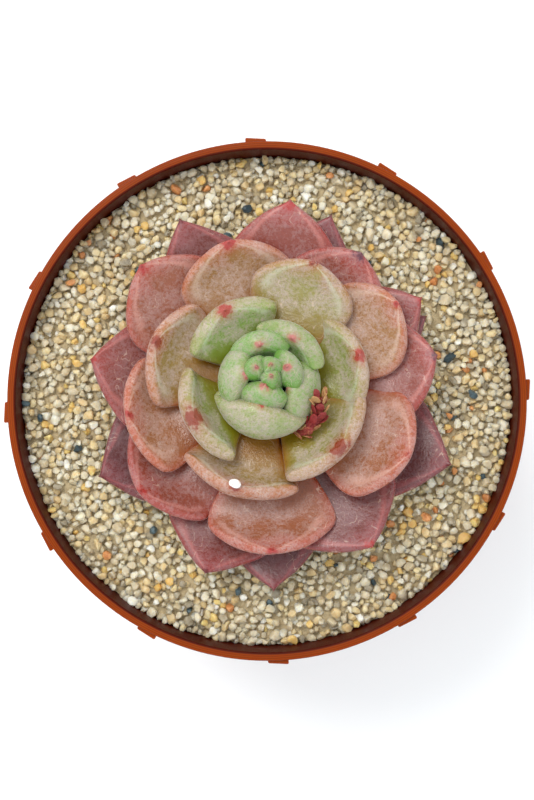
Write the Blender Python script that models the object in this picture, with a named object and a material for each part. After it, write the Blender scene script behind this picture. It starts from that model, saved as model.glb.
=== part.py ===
"""A rosette succulent in a round nursery pot, dressed with quartz grit.

Metres, +Z up. The origin is the centre of the pot's foot, on the surface that the pot stands on.
"""

import math

import bmesh
import bpy
from mathutils import Matrix, Vector
from mathutils.bvhtree import BVHTree

# Pot: one thin moulding with a collar, a rolled lip and lugs that stop stacked pots from jamming
POT_HEIGHT = 0.085
FOOT_RADIUS = 0.0365
FOOT_WIDTH = 0.0030
FOOT_HEIGHT = 0.0020
BASE_THICKNESS = 0.0015
WALL = 0.0012
COLLAR_HEIGHT = 0.0170
COLLAR_STEP = 0.0012
COLLAR_FLARE = 0.0010
LIP_RADIUS = 0.0525
LIP_OVERHANG = 0.0005
LIP_HEIGHT = 0.0016
LIP_ROUND = 0.0004
POT_FACETS = 72

LUG_COUNT = 12
LUG_WIDTH = 0.0042
LUG_REACH = 0.0011
LUG_HEIGHT = 0.0045
LUG_DROP = 0.0010
LUG_RAMP = 0.4
LUG_TURN = math.radians(2.5)

DRAIN_RADIUS = 0.0035
DRAIN_COUNT = 8
DRAIN_CIRCLE = 0.0240

# Fill: potting mix below, grit above
CLEARANCE = 0.0003
GRIT_BELOW_RIM = 0.0062
GRIT_MOUND = 0.0022
GRIT_DEPTH = 0.0120
FILL_FACETS = 48

# Stem: a root crown in the soil and a short leaning stem that carries the leaves
STEM_FOOT_RADIUS = 0.0046
STEM_TIP_RADIUS = 0.0010
STEM_HEIGHT = 0.0185
ROOT_CROWN_RADIUS = 0.0075
ROOT_DEPTH = 0.0240
ROOT_TAPER = 0.75
LEAN = math.radians(10.0)
STEM_FACETS = 20

# Rosette: heights are above the stem's foot, along the leaning stem
LOWEST_LEAF = 0.0045
HEART_TIP_HEIGHT = 0.0280
OUTER_TIP_HEIGHT = 0.0065
HEART_THICKNESS = 0.0026
OUTER_THICKNESS = 0.0018
HEART_INSET = 0.0010
LEAF_GAP = 0.0008
LEAF_AROUND = 12
LEAF_ALONG = 9

# Leaf shape: shares of its length or width, and degrees of slope where it leaves the stem
HEART_RISE = 80.0
MIDDLE_RISE = 12.0
OUTER_RISE = -14.0
HEART_OPENS = 0.05
HEART_SHARE = 0.30
OPENING_PACE = 0.70
TIP_FALL_PACE = 1.15
MOST_THICK_SHARE = 0.60
LEAF_SHOULDER = 0.66
LEAF_FOOT_WIDTH = 0.30
LEAF_FOOT_ROUND = 0.08
LEAF_POINT = 2.2
LEAF_BLUNT = 0.72
LEAF_FULL_FROM = 0.40
LEAF_FOOT_THICKNESS = 0.70
UPPER_SHARE = 0.28
MIDRIB_GRIP = 0.20
HOOD_GRIP = 0.24
CUP = 0.9
LEAST_CUP_RADIUS = 0.0040
MOST_BEND = 1.1
LEAF_CLEARANCE = 0.0002
PRESS_REACH = 8
COLOUR_TURN = (0.1, 0.7)

# Flower stalk: its route from the stem, in mm above the grit's crown
STALK_RADIUS = 0.0009
STALK_FOOT_SHARE = 0.45
STALK_SWELL = (0.30, 0.60)
STALK_ROUTE = (
    (2.4, 0.6, 14.4),
    (3.2, -1.0, 15.6),
    (4.3, -3.0, 16.8),
    (5.4, -5.4, 18.0),
    (7.4, -5.6, 19.0),
    (9.4, -3.6, 20.0),
    (10.2, -1.2, 21.2),
    (9.9, 0.8, 22.6),
)

# One row a leaf, from the heart outwards: the side it grows to (degrees), how far its tip reaches from
# the stem's axis (mm), the slope at its tip (degrees, 90 is upright and more curls inwards), its width (mm)
LEAVES = (
    (350, 0.8, 92, 3.0),
    (70, 2.4, 90, 3.4),
    (126, 2.6, 92, 3.8),
    (28, 4.4, 92, 6.0),
    (262, 0.8, 98, 6.6),
    (100, 6.8, 92, 9.0),
    (166, 3.6, 138, 13.0),
    (58, 9.4, 108, 15.0),
    (255, 5.2, 118, 20.0),
    (121, 16.0, 82, 19.5),
    (350, 5.6, 130, 13.5),
    (207, 15.8, 86, 20.5),
    (69, 25.0, 66, 21.0),
    (318, 19.0, 82, 22.5),
    (160, 23.2, 78, 21.5),
    (17, 18.8, 78, 20.0),
    (253, 21.0, 84, 23.5),
    (32, 30.0, 62, 20.5),
    (105, 29.2, 66, 23.0),
    (334, 30.7, 62, 23.0),
    (192, 27.8, 72, 23.5),
    (55, 32.0, 50, 21.5),
    (272, 32.0, 68, 25.5),
    (136, 34.5, 52, 23.0),
    (11, 33.8, 42, 22.0),
    (219, 32.0, 64, 23.5),
    (83, 37.5, 36, 22.0),
    (304, 36.8, 40, 24.5),
    (170, 35.2, 40, 23.0),
    (31, 35.6, 34, 20.0),
    (251, 37.4, 42, 23.5),
    (117, 38.2, 32, 20.5),
    (339, 39.0, 34, 23.0),
    (206, 37.0, 32, 23.0),
    (70, 37.5, 26, 18.0),
    (272, 38.5, 20, 20.0),
    (26, 35.4, 18, 17.0),
)


def share(value, low, high):
    """How far value is from low to high, from 0 to 1."""
    return min(1.0, max(0.0, (value - low) / (high - low)))


def blend(low, high, part):
    return low + (high - low) * part


def material(name, colour, roughness, metallic=0.0):
    made = bpy.data.materials.new(name)
    made.use_nodes = True
    shader = made.node_tree.nodes["Principled BSDF"]
    shader.inputs["Base Color"].default_value = (*colour, 1.0)
    shader.inputs["Roughness"].default_value = roughness
    shader.inputs["Metallic"].default_value = metallic
    return made


def add_object(name, bm, finish):
    """Turns a closed bmesh into a named, smooth-shaded object."""
    mesh = bpy.data.meshes.new(name)
    bm.to_mesh(mesh)
    bm.free()
    mesh.shade_smooth()
    mesh.set_sharp_from_angle(angle=math.radians(35))
    mesh.materials.append(finish)
    made = bpy.data.objects.new(name, mesh)
    bpy.context.scene.collection.objects.link(made)
    return made


def spun(profile, facets):
    """A solid of revolution about Z, from (radius, height) points whose two ends lie on the axis."""
    bm = bmesh.new()
    verts = [bm.verts.new((radius, 0.0, height)) for radius, height in profile]
    edges = [bm.edges.new(pair) for pair in zip(verts, verts[1:])]
    bmesh.ops.spin(
        bm, geom=verts + edges, axis=(0, 0, 1), cent=(0, 0, 0), steps=facets,
        angle=math.tau, use_merge=True,
    )
    bmesh.ops.remove_doubles(bm, verts=bm.verts, dist=1e-6)
    bmesh.ops.recalc_face_normals(bm, faces=bm.faces)
    return bm


# The pot's inner wall, as (height, radius) corners from the floor up
FLOOR = FOOT_HEIGHT + BASE_THICKNESS
COLLAR_FOOT = POT_HEIGHT - COLLAR_HEIGHT
LIP_INNER = LIP_RADIUS - LIP_OVERHANG - WALL
COLLAR_INNER = LIP_INNER - COLLAR_FLARE
BODY_TOP_INNER = COLLAR_INNER - COLLAR_STEP
STEP_RISE = 2 * COLLAR_STEP
INNER_WALL = (
    (FLOOR, FOOT_RADIUS - WALL),
    (COLLAR_FOOT - STEP_RISE, BODY_TOP_INNER),
    (COLLAR_FOOT, COLLAR_INNER),
    (POT_HEIGHT, LIP_INNER),
)


def inner_radius(height):
    """The pot's inner radius at a height."""
    for (low, start), (high, end) in zip(INNER_WALL, INNER_WALL[1:]):
        if height <= high:
            return blend(start, end, share(height, low, high))
    return LIP_INNER


def pot_blank():
    """The pot before its lugs and drain holes, turned from its foot ring up to its lip and down inside."""
    foot_inner = FOOT_RADIUS - FOOT_WIDTH
    lip_foot = POT_HEIGHT - LIP_HEIGHT
    outside = [(radius + WALL, height) for height, radius in INNER_WALL[1:3]]
    profile = [
        (0.0, FOOT_HEIGHT),
        (foot_inner, FOOT_HEIGHT),
        (foot_inner, 0.0),
        (FOOT_RADIUS, 0.0),
        *outside,
        (inner_radius(lip_foot) + WALL, lip_foot),
        (LIP_RADIUS, lip_foot),
        (LIP_RADIUS, POT_HEIGHT - LIP_ROUND),
        (LIP_RADIUS - LIP_ROUND, POT_HEIGHT),
        (LIP_INNER + LIP_ROUND, POT_HEIGHT),
        (LIP_INNER, POT_HEIGHT - LIP_ROUND),
        *[(radius, height) for height, radius in reversed(INNER_WALL[:3])],
        (0.0, FLOOR),
    ]
    return spun(profile, POT_FACETS)


def lug_ring():
    """Twelve wedges set into the collar under the lip: each ramps up along the rim and ends in a step."""
    bm = bmesh.new()
    top = POT_HEIGHT - LUG_DROP
    root = inner_radius(top - LUG_HEIGHT) + WALL / 2
    nose = LIP_RADIUS + LUG_REACH
    half = LUG_WIDTH / 2
    for index in range(LUG_COUNT):
        turn = Matrix.Rotation(LUG_TURN + index * math.tau / LUG_COUNT, 4, "Z")
        lower = [(root, -half), (nose - LUG_RAMP * LUG_REACH, -half), (nose, half), (root, half)]
        low = [bm.verts.new(turn @ Vector((x, y, top - LUG_HEIGHT))) for x, y in lower]
        high = [bm.verts.new(turn @ Vector((x, y, top))) for x, y in lower]
        bm.faces.new(low[::-1])
        bm.faces.new(high)
        for side in range(4):
            after = (side + 1) % 4
            bm.faces.new((low[side], low[after], high[after], high[side]))
    bmesh.ops.recalc_face_normals(bm, faces=bm.faces)
    return bm


def drain_cutters():
    """The core pins of the base: one in the middle and a ring round it."""
    bm = bmesh.new()
    places = [Vector((0, 0, 0))]
    for index in range(DRAIN_COUNT):
        angle = index * math.tau / DRAIN_COUNT
        places.append(DRAIN_CIRCLE * Vector((math.cos(angle), math.sin(angle), 0)))
    for place in places:
        bmesh.ops.create_cone(
            bm, cap_ends=True, segments=16, radius1=DRAIN_RADIUS, radius2=DRAIN_RADIUS,
            depth=4 * FLOOR, matrix=Matrix.Translation(place),
        )
    return bm


def helper(made):
    made.hide_render = True
    made.display_type = "WIRE"
    return made


def make_pot(finish):
    pot = add_object("pot", pot_blank(), finish)
    for name, bm, operation in (
        ("lugs", lug_ring(), "UNION"),
        ("drain_holes", drain_cutters(), "DIFFERENCE"),
    ):
        cut = pot.modifiers.new(name, "BOOLEAN")
        cut.operation = operation
        cut.object = helper(add_object(name, bm, finish))
    return pot


GRIT_TOP = POT_HEIGHT - GRIT_BELOW_RIM
GRIT_CROWN = GRIT_TOP + GRIT_MOUND
GRIT_FOOT = GRIT_TOP - GRIT_DEPTH
SOIL_TOP = GRIT_FOOT - CLEARANCE
ROOT_FOOT = GRIT_CROWN - ROOT_DEPTH


def root_radius(height):
    """The stem's radius below the grit's crown: it swells into the root crown, then tapers to its end."""
    swell = share(height, GRIT_CROWN, GRIT_FOOT)
    taper = share(height, GRIT_FOOT, ROOT_FOOT)
    return blend(STEM_FOOT_RADIUS, ROOT_CROWN_RADIUS, swell) * (1 - ROOT_TAPER * taper**2)


def root_profile(low, high, steps, gap):
    """(radius, height) points down the root crown, held off it by a gap."""
    heights = [blend(high, low, step / steps) for step in range(steps + 1)]
    return [(root_radius(height) + gap, height) for height in heights]


def make_soil(finish):
    """Potting mix with a socket for the root crown."""
    floor = FLOOR + CLEARANCE
    outside = [(inner_radius(height) - CLEARANCE, height) for height in (floor, COLLAR_FOOT - STEP_RISE)]
    outside.append((inner_radius(SOIL_TOP) - CLEARANCE, SOIL_TOP))
    socket = root_profile(ROOT_FOOT - CLEARANCE, SOIL_TOP, 5, CLEARANCE)
    end = (0.0, ROOT_FOOT - CLEARANCE)
    return add_object("soil", spun([(0.0, floor), *outside, *socket, end], FILL_FACETS), finish)


def make_grit(finish):
    """The layer of grit, mounded up to the stem that comes through its middle."""
    bm = bmesh.new()
    low_wall = inner_radius(GRIT_FOOT) - CLEARANCE
    high_wall = inner_radius(GRIT_TOP) - CLEARANCE
    mound = []
    for step in range(1, 5):
        radius = blend(high_wall, STEM_FOOT_RADIUS, step / 5)
        mound.append((radius, GRIT_CROWN - GRIT_MOUND * share(radius, 0.0, high_wall) ** 2))
    bore = root_profile(GRIT_FOOT, GRIT_CROWN, 3, CLEARANCE)
    ring = [(low_wall, GRIT_FOOT), (high_wall, GRIT_TOP), *mound, *bore]
    verts = [bm.verts.new((radius, 0.0, height)) for radius, height in ring]
    edges = [bm.edges.new(pair) for pair in zip(verts, verts[1:] + verts[:1])]
    bmesh.ops.spin(
        bm, geom=verts + edges, axis=(0, 0, 1), cent=(0, 0, 0), steps=FILL_FACETS,
        angle=math.tau, use_merge=True,
    )
    bmesh.ops.remove_doubles(bm, verts=bm.verts, dist=1e-6)
    bmesh.ops.recalc_face_normals(bm, faces=bm.faces)
    return add_object("grit_dressing", bm, finish)


def stem_radius(height):
    """The stem's radius at a height above the grit's crown."""
    return blend(STEM_FOOT_RADIUS, STEM_TIP_RADIUS, share(height, 0.0, STEM_HEIGHT))


def make_stem(finish):
    """Root crown and stem in one piece: upright in the pot, leaning above the grit."""
    above = [(stem_radius(rise), GRIT_CROWN + rise) for rise in (STEM_HEIGHT, 0.5 * STEM_HEIGHT)]
    root = root_profile(ROOT_FOOT, GRIT_CROWN, 6, 0.0)
    bm = spun([(0.0, GRIT_CROWN + STEM_HEIGHT), *above, *root, (0.0, ROOT_FOOT)], STEM_FACETS)
    for vert in bm.verts:
        vert.co.y += max(0.0, vert.co.z - GRIT_CROWN) * math.tan(LEAN)
    return add_object("stem", bm, finish)


def half_width(along):
    """Half the leaf's width, as a share of its greatest: a narrow foot, broad shoulders, a blunt point."""
    foot = math.sqrt(max(0.0, 1 - (1 - share(along, 0.0, LEAF_FOOT_ROUND)) ** 2))
    if along < LEAF_SHOULDER:
        swell = 0.5 - 0.5 * math.cos(math.pi * along / LEAF_SHOULDER)
        return foot * blend(LEAF_FOOT_WIDTH, 1.0, swell)
    return (1 - share(along, LEAF_SHOULDER, 1.0) ** LEAF_POINT) ** LEAF_BLUNT


def fullness(along):
    """The leaf's thickness along it, as a share of its greatest: full to the shoulders, round at the ends."""
    foot = math.sqrt(max(0.0, 1 - (1 - share(along, 0.0, LEAF_FOOT_ROUND)) ** 2))
    tip = math.sqrt(max(0.0, 1 - share(along, LEAF_FULL_FROM, 1.0) ** 4))
    return foot * tip * blend(LEAF_FOOT_THICKNESS, 1.0, share(along, 0.0, LEAF_FULL_FROM))


def midrib(base, tip, rise, curl):
    """A cubic from the leaf's base to its tip as (reach, height), leaving at one slope, ending at another.

    It returns a function of the share along it that gives the point and the slope there."""
    grip = (MIDRIB_GRIP + HOOD_GRIP * max(0.0, curl - rise)) * (tip - base).length
    points = (
        base,
        base + grip * Vector((math.cos(rise), math.sin(rise))),
        tip - grip * Vector((math.cos(curl), math.sin(curl))),
        tip,
    )

    def at(part):
        rest = 1 - part
        place = (
            rest**3 * points[0] + 3 * rest**2 * part * points[1]
            + 3 * rest * part**2 * points[2] + part**3 * points[3]
        )
        way = (
            rest**2 * (points[1] - points[0]) + 2 * rest * part * (points[2] - points[1])
            + part**2 * (points[3] - points[2])
        )
        return place, math.atan2(way.y, way.x)

    return at


def leaf_mesh(order, row, around, along):
    """One leaf, as a sphere drawn out along its midrib and cupped round the stem, in the rosette's frame."""
    age = order / (len(LEAVES) - 1)
    turn, reach, curl, width = row
    base_height = blend(STEM_HEIGHT - HEART_INSET, LOWEST_LEAF, age)
    base = Vector((stem_radius(base_height) + LEAF_GAP, base_height))
    drop = math.sin(math.radians(turn)) * math.tan(LEAN) * share(age, HEART_SHARE, 1.0)
    level = blend(HEART_TIP_HEIGHT, OUTER_TIP_HEIGHT, age**TIP_FALL_PACE)
    tip = Vector((reach / 1000, level + drop * reach / 1000))
    heart_rise = blend(HEART_RISE, MIDDLE_RISE, share(age, HEART_OPENS, HEART_SHARE) ** OPENING_PACE)
    rise = math.radians(blend(heart_rise, OUTER_RISE, share(age, HEART_SHARE, 1.0)))
    midline = midrib(base, tip, rise, math.radians(curl))
    thickness = min(MOST_THICK_SHARE * width / 1000, blend(HEART_THICKNESS, OUTER_THICKNESS, age))
    half = width / 2000
    swing = Matrix.Rotation(math.radians(turn), 3, "Z")
    bm = bmesh.new()
    bmesh.ops.create_uvsphere(bm, u_segments=around, v_segments=along, radius=1.0)
    for vert in bm.verts:
        part = min(1.0, max(0.0, (1 + vert.co.z) / 2))
        place, slope = midline(part)
        angle = math.atan2(vert.co.y, vert.co.x)
        breadth = half * half_width(part)
        across = breadth * math.cos(angle)
        side = math.sin(angle)
        depth = thickness * fullness(part) * side * (UPPER_SHARE if side > 0 else 1 - UPPER_SHARE)
        wrap = CUP * math.sin(slope) / max(place.x, LEAST_CUP_RADIUS)
        wrap = max(1.0, min(wrap, MOST_BEND / max(breadth, LEAF_CLEARANCE)))
        bend = across * wrap
        level = depth * math.cos(bend) + (1 - math.cos(bend)) / wrap
        out = Vector((math.cos(slope), 0.0, math.sin(slope)))
        up = Vector((-math.sin(slope), 0.0, math.cos(slope)))
        sideways = Vector((0.0, math.sin(bend) / wrap - depth * math.sin(bend), 0.0))
        vert.co = swing @ (Vector((place.x, 0.0, place.y)) + sideways + level * up)
    tilt = Matrix.Rotation(-LEAN, 3, "X")
    for vert in bm.verts:
        vert.co = tilt @ vert.co + Vector((0.0, 0.0, GRIT_CROWN))
    return bm


def grown(mesh, gap):
    """A copy of a mesh that stands off it by a gap all round."""
    bm = bmesh.new()
    bm.from_mesh(mesh)
    bm.normal_update()
    for vert, normal in [(vert, vert.normal.copy()) for vert in bm.verts]:
        vert.co += gap * normal
    return bm


def tree_of(mesh):
    return BVHTree.FromPolygons([vert.co for vert in mesh.vertices], [face.vertices for face in mesh.polygons])


def press(older, younger, finish):
    """Hollows an older piece where younger ones lie on it, as leaves in a bud shape each other."""
    own = tree_of(older.data)
    for leaf in younger:
        name = f"{leaf.name}_room"
        room = bpy.data.objects.get(name)
        if room is None:
            room = helper(add_object(name, grown(leaf.data, LEAF_CLEARANCE), finish))
        if own.overlap(tree_of(room.data)):
            hollow = older.modifiers.new(name, "BOOLEAN")
            hollow.operation = "DIFFERENCE"
            hollow.object = room


def make_leaves(green, rose, stalk):
    """The rosette: each leaf is its own piece, green in the heart and rose on the outside. Leaves that
    grow against the flower stalk are shaped round it too."""
    leaves = []
    for order, row in enumerate(LEAVES):
        age = share(order, COLOUR_TURN[0] * len(LEAVES), COLOUR_TURN[1] * len(LEAVES))
        name = f"leaf_{order + 1:02d}"
        colour = [blend(young, old, age) for young, old in zip(green, rose)]
        skin = material(f"{name}_skin", colour, 0.55)
        leaf = add_object(name, leaf_mesh(order, row, LEAF_AROUND, LEAF_ALONG), skin)
        press(leaf, [*leaves[-PRESS_REACH:], stalk], skin)
        leaves.append(leaf)
    return leaves


def make_flower_stalk(finish):
    """A young flower stalk that shrivelled: a withered club on a thin foot, bent round the inner leaves."""
    bm = bmesh.new()
    bmesh.ops.create_uvsphere(bm, u_segments=10, v_segments=24, radius=1.0)
    points = [Vector(point) / 1000 for point in STALK_ROUTE]
    for vert in bm.verts:
        part = min(0.999, max(0.001, (1 + vert.co.z) / 2))
        centre = spline_point(points, part)
        way = (spline_point(points, part + 0.001) - spline_point(points, part - 0.001)).normalized()
        side = Vector((0, 0, 1)).cross(way).normalized()
        top = way.cross(side)
        radius = STALK_RADIUS * blend(STALK_FOOT_SHARE, 1.0, share(part, *STALK_SWELL))
        vert.co = centre + radius * (vert.co.x * side + vert.co.y * top) + Vector((0, 0, GRIT_CROWN))
    return add_object("flower_stalk", bm, finish)


def spline_point(points, part):
    """A point on the smooth curve through the points, by its share along it."""
    place = part * (len(points) - 1)
    index = min(int(place), len(points) - 2)
    start, end = points[index], points[index + 1]
    before = points[max(index - 1, 0)]
    after = points[min(index + 2, len(points) - 1)]
    rest = place - index
    return 0.5 * (
        2 * start + (end - before) * rest + (2 * before - 5 * start + 4 * end - after) * rest**2
        + (3 * start - before - 3 * end + after) * rest**3
    )


for old in list(bpy.data.objects):
    bpy.data.objects.remove(old, do_unlink=True)

make_pot(material("terracotta_plastic", (0.42, 0.13, 0.03), 0.4))
make_soil(material("potting_mix", (0.05, 0.03, 0.02), 0.95))
make_grit(material("quartz_grit", (0.55, 0.48, 0.36), 0.6))
make_stem(material("stem_bark", (0.30, 0.22, 0.12), 0.85))
flower_stalk = make_flower_stalk(material("withered_stalk", (0.35, 0.08, 0.05), 0.8))
make_leaves(green=(0.30, 0.45, 0.20), rose=(0.45, 0.14, 0.11), stalk=flower_stalk)
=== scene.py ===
"""A rosette succulent in a round nursery pot, dressed with quartz grit.

Metres, +Z up, in the frame's own place: the pot's foot stands at the origin.
"""

import math
import random

import bmesh
import bpy
from mathutils import Matrix, Vector, noise


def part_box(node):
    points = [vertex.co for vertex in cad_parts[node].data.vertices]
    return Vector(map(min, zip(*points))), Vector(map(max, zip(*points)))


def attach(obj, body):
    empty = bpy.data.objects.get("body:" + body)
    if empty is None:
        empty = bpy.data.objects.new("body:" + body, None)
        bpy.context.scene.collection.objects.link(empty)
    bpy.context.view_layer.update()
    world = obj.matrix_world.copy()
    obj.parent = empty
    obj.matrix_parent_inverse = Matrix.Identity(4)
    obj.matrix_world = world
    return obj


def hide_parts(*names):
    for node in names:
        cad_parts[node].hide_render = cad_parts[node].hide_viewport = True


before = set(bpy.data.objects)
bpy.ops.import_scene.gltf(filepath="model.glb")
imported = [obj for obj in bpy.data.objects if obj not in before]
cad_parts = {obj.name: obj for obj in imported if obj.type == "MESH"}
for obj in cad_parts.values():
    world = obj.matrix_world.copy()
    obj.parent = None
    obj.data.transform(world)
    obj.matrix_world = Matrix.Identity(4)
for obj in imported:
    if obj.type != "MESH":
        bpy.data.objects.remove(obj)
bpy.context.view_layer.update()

# ---------------------------------------------------------------------------------------------------
# The pot is one thin injection moulding in orange-brown plastic: a tapered wall, a collar that steps
# out, and a small rolled lip. Twelve wedge lugs under the lip stop stacked pots from jamming, and the
# base stands on a narrow foot ring and drains through nine holes.

pot_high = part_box("pot")[1]
LIP_RADIUS = 0.0525
WALL = 0.0012
LIP_OVERHANG = 0.0005
LIP_DEPTH = 0.0016
COLLAR_HEIGHT = 0.0170
COLLAR_STEP = 0.0012
COLLAR_FLARE = 0.0010
FOOT_RADIUS = 0.0365
FOOT_WIDTH = 0.0030
FOOT_HEIGHT = 0.0020
BASE_THICKNESS = 0.0015
POT_STEPS = 192
LINE_SPACING = 0.00042
LINE_DEPTH = 0.0008
LUG_COUNT = 12
LUG_TURN = math.radians(2.5)
LUG_WIDTH = 0.0042
LUG_HEIGHT = 0.0045
LUG_DROP = 0.0010
LUG_RAMP = 0.4
DRAIN_RADIUS = 0.0035
DRAIN_CIRCLE = 0.0240
DRAIN_COUNT = 8
PIN_LENGTH = 0.0200
PIN_SIDES = 32
CORNER_BEVEL = 0.0004
CORNER_ANGLE = math.radians(12)
LUG_BEVEL = 0.0003
COLLAR_FOOT = pot_high.z - COLLAR_HEIGHT
LIP_INNER = LIP_RADIUS - LIP_OVERHANG - WALL
COLLAR_INNER = LIP_INNER - COLLAR_FLARE
BODY_INNER = COLLAR_INNER - COLLAR_STEP
BASE_TOP = FOOT_HEIGHT + BASE_THICKNESS


def blend(low, high, part):
    return low + (high - low) * part


def share(value, low, high):
    """How far value is from low to high, from 0 to 1."""
    return min(1.0, max(0.0, (value - low) / (high - low)))


def shown(red, green, blue):
    """A colour as a screen shows it, from 0 to 255, turned into light."""
    parts = [part / 255 for part in (red, green, blue)]
    return (*[part / 12.92 if part < 0.04 else ((part + 0.055) / 1.055) ** 2.4 for part in parts], 1.0)


class Paint:
    """One material and the nodes that feed its Principled shader."""

    def __init__(self, name, **constants):
        self.made = bpy.data.materials.new(name)
        self.made.use_nodes = True
        self.tree = self.made.node_tree
        self.shader = self.tree.nodes["Principled BSDF"]
        for socket, value in constants.items():
            self.shader.inputs[socket.replace("_", " ")].default_value = value
        self.place = self.add("ShaderNodeTexCoord").outputs["Object"]

    def add(self, kind, inputs=(), **settings):
        node = self.tree.nodes.new(kind)
        for key, value in settings.items():
            setattr(node, key, value)
        for socket, value in dict(inputs).items():
            self.feed(node.inputs[socket], value)
        return node

    def feed(self, socket, value):
        if isinstance(value, bpy.types.NodeSocket):
            self.tree.links.new(value, socket)
        else:
            socket.default_value = value

    def maths(self, operation, first, second=0.0):
        return self.add("ShaderNodeMath", {0: first, 1: second}, operation=operation).outputs[0]

    def product(self, first, *others):
        for other in others:
            first = self.maths("MULTIPLY", first, other)
        return first

    def noise(self, scale, detail=2.0, roughness=0.5):
        inputs = {"Vector": self.place, "Scale": scale, "Detail": detail, "Roughness": roughness}
        return self.add("ShaderNodeTexNoise", inputs).outputs["Fac"]

    def ramp(self, value, low, high, start=0.0, end=1.0):
        """Start below low, end above high, and smooth between them."""
        inputs = {"Value": value, "From Min": low, "From Max": high, "To Min": start, "To Max": end}
        return self.add("ShaderNodeMapRange", inputs, interpolation_type="SMOOTHSTEP").outputs["Result"]

    def mix(self, part, first, second):
        node = self.add("ShaderNodeMix", {0: part, 6: first, 7: second}, data_type="RGBA")
        return node.outputs[2]

    def away(self, point):
        """The distance from a point of the object."""
        node = self.add("ShaderNodeVectorMath", {0: self.place, 1: point}, operation="DISTANCE")
        return node.outputs["Value"]

    def value(self, name):
        """A number that the mesh carries at its vertices."""
        return self.add("ShaderNodeAttribute", attribute_name=name).outputs["Fac"]

    def bump(self, height, depth):
        node = self.add("ShaderNodeBump", {"Height": height, "Distance": depth, "Strength": 1.0})
        self.feed(self.shader.inputs["Normal"], node.outputs["Normal"])

    def colour(self, value):
        self.feed(self.shader.inputs["Base Color"], value)

    def roughness(self, value):
        self.feed(self.shader.inputs["Roughness"], value)


def set_in_place(name, bm, paint, slot, *nodes, sharp=40.0):
    """Makes a finished bmesh into a piece that rides with the pot and stands for its frame nodes."""
    mesh = bpy.data.meshes.new(name)
    bm.to_mesh(mesh)
    bm.free()
    mesh.shade_smooth()
    mesh.set_sharp_from_angle(angle=math.radians(sharp))
    mesh.materials.append(paint.made)
    piece = bpy.data.objects.new(name, mesh)
    bpy.context.scene.collection.objects.link(piece)
    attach(piece, "root")
    if nodes:
        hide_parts(*nodes)
    return piece


def turned(outline, steps):
    """A turned shape from (radius, height) points. An outline that ends on the axis closes there."""
    bm = bmesh.new()
    verts = [bm.verts.new((radius, 0.0, height)) for radius, height in outline]
    edges = [bm.edges.new(pair) for pair in zip(verts, verts[1:])]
    bmesh.ops.spin(
        bm, geom=verts + edges, axis=(0, 0, 1), cent=(0, 0, 0), steps=steps, angle=math.tau, use_merge=True,
    )
    bmesh.ops.remove_doubles(bm, verts=bm.verts, dist=1e-6)
    bmesh.ops.recalc_face_normals(bm, faces=bm.faces)
    return bm


def joined(piece, tool, operation):
    """Joins a bmesh to a piece or cuts it out, and keeps the result as the piece's mesh."""
    mesh = bpy.data.meshes.new("tool")
    tool.to_mesh(mesh)
    tool.free()
    helper = bpy.data.objects.new("tool", mesh)
    bpy.context.scene.collection.objects.link(helper)
    cut = piece.modifiers.new("cut", "BOOLEAN")
    cut.operation = operation
    cut.solver = "MANIFOLD"
    cut.object = helper
    whole = piece.evaluated_get(bpy.context.evaluated_depsgraph_get())
    result = bpy.data.meshes.new_from_object(whole)
    piece.modifiers.clear()
    piece.data = result
    bpy.data.objects.remove(helper)
    piece.data.shade_smooth()
    piece.data.set_sharp_from_angle(angle=math.radians(30))


def middle_of_wall(paint, height):
    """The radius of the middle of the pot's wall, by the height: a taper, the collar's step and its flare."""
    rows = [
        (0.0, FOOT_RADIUS - WALL / 2),
        (COLLAR_FOOT - 2 * COLLAR_STEP, BODY_INNER + WALL / 2),
        (COLLAR_FOOT, COLLAR_INNER + WALL / 2),
        (pot_high.z, LIP_INNER + WALL / 2),
    ]
    radius = rows[0][1]
    for (low, inner), (high, outer) in zip(rows, rows[1:]):
        inputs = {"Value": height, "From Min": low, "From Max": high, "To Min": 0.0, "To Max": outer - inner}
        radius = paint.maths("ADD", paint.add("ShaderNodeMapRange", inputs).outputs["Result"], radius)
    return radius


def pot_plastic():
    """Orange-brown plastic, with painted shade darkening the inside of the pot, and fine turned lines on the
    lip with painted shade in their troughs.
    """
    paint = Paint(
        "pot_plastic", Roughness=0.38, Subsurface_Weight=0.30, Subsurface_Radius=(1.0, 0.22, 0.03),
        Subsurface_Scale=0.0012, Specular_IOR_Level=0.08,
    )
    parts = paint.add("ShaderNodeSeparateXYZ", {0: paint.place})
    height = parts.outputs["Z"]
    squares = [paint.product(parts.outputs[axis], parts.outputs[axis]) for axis in "XY"]
    radius = paint.maths("SQRT", paint.maths("ADD", *squares))
    cloud = paint.noise(90.0, 3.0)
    body = paint.mix(cloud, shown(126, 47, 4), shown(146, 61, 8))
    # Painted shade: the inside wall and the top of the base are darkened towards a deep brown
    inward = paint.maths("SUBTRACT", middle_of_wall(paint, height), radius)
    inside = paint.product(paint.ramp(inward, 0.0, WALL / 3), paint.ramp(height, FOOT_HEIGHT, BASE_TOP))
    shaded_inside = paint.mix(inside, body, shown(70, 13, 2))
    lines = paint.maths("SINE", paint.product(radius, math.tau / LINE_SPACING))
    on_lip = paint.ramp(height, pot_high.z - LINE_DEPTH, pot_high.z - LINE_DEPTH / 2, 0.0, 0.45)
    # Painted shade in the troughs of the turned lines on the lip
    groove_shade = paint.product(paint.ramp(lines, -0.2, -0.9), on_lip)
    paint.colour(paint.mix(groove_shade, shaded_inside, shown(70, 20, 3)))
    wear = paint.noise(2600.0, 3.0, 0.6)
    paint.bump(paint.maths("ADD", paint.product(lines, on_lip), wear), 0.00002)
    paint.roughness(paint.ramp(wear, 0.3, 0.7, 0.30, 0.46))
    return paint


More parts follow.
